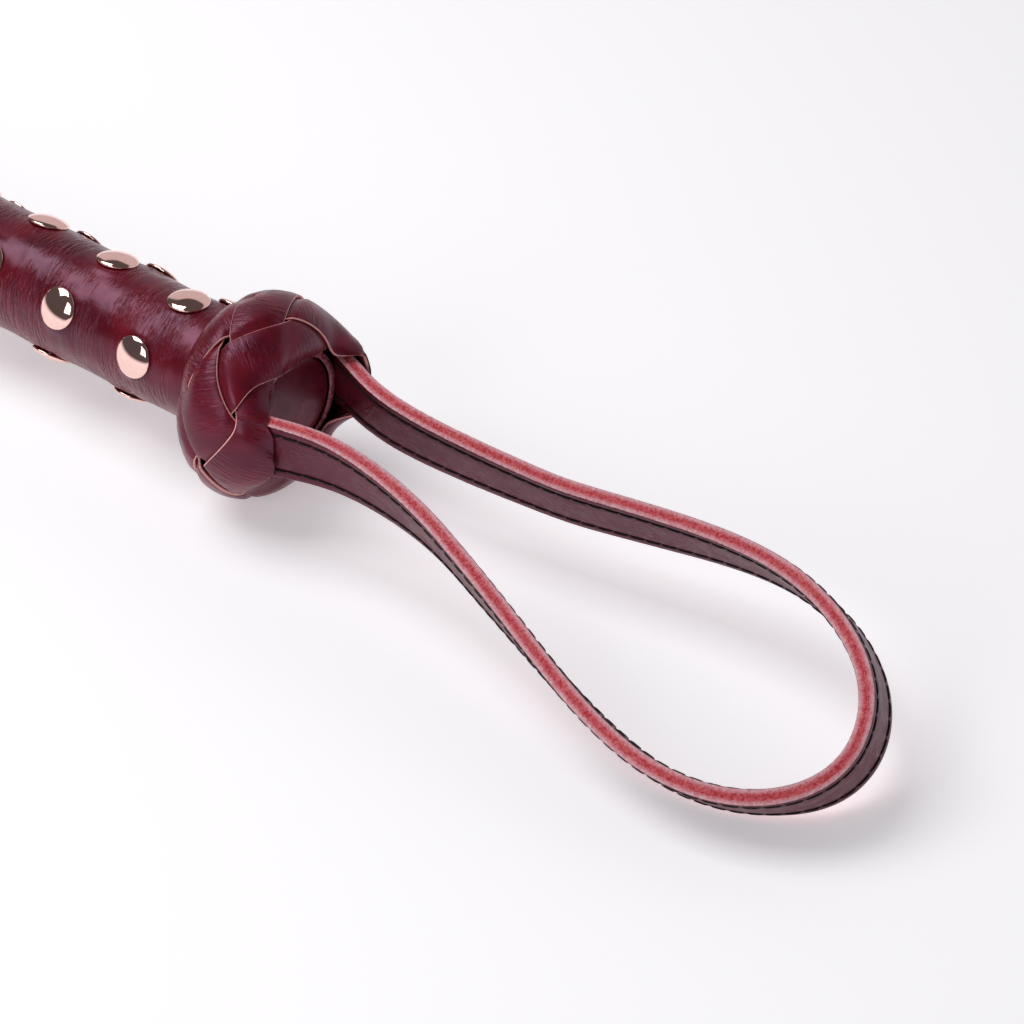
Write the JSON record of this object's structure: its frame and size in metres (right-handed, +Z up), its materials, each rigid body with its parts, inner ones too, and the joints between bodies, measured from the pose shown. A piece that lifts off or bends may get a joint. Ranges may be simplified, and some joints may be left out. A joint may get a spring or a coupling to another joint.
{
  "type": "riding crop",
  "caption": "Riding crop with a rivet-studded leather grip, woven knots, tapered leather-covered shaft, flat leather keeper and a sewn leather wrist loop.",
  "frame": {"origin": "centre of the grip's butt end, on the shaft's axis", "axes": "+X along the shaft towards the keeper, +Z up; the wrist loop lies on the -X side"},
  "size_m": [0.8342, 0.0586, 0.0424],
  "materials": {
    "wine_leather": "glossy pull-up leather with fine creases",
    "strap_leather": "semi-gloss leather with raw pink edges",
    "rose_gold": "polished rose-gold plate",
    "black_thread": "waxed thread",
    "turned_wood": "bare turned beech",
    "rod": "glass-fibre rod",
    "steel": "bare steel",
    "rubber": "matt"
  },
  "bodies": {
    "crop": {"core_rod": "rod", "handle_core": "turned_wood", "grip_sleeve": "wine_leather", "rivet_caps": "rose_gold", "rivet_posts": "rose_gold", "butt_plug": "wine_leather", "butt_knot_ring": "turned_wood", "butt_knot_lace": "wine_leather", "front_washer": "wine_leather", "front_knot_ring": "turned_wood", "front_knot_lace": "wine_leather", "shaft_sleeve": "wine_leather", "shaft_seam_thread": "black_thread", "tip_plug": "rubber", "keeper_wrap": "wine_leather", "keeper_binding": "black_thread", "strap_tails_outer": "strap_leather", "strap_tails_inner": "strap_leather", "strap_tacks": "steel"},
    "wrist_loop": {"loop_outer_ply": "strap_leather", "loop_inner_ply": "strap_leather", "loop_outer_thread": "black_thread", "loop_inner_thread": "black_thread"},
    "keeper": {"keeper_top_ply": "wine_leather", "keeper_bottom_ply": "wine_leather", "keeper_thread": "black_thread", "keeper_rivets": "rose_gold"}
  },
  "joints": [
    {"name": "wrist_loop_swing", "type": "hinge", "parent": "crop", "child": "wrist_loop", "pos_m": [-0.012, 0, 0], "axis": [0, 1, 0], "range_deg": [-60, 60]},
    {"name": "keeper_flex", "type": "hinge", "parent": "crop", "child": "keeper", "pos_m": [0.597, 0, 0], "axis": [0, 1, 0], "range_deg": [-65, 65]}
  ]
}
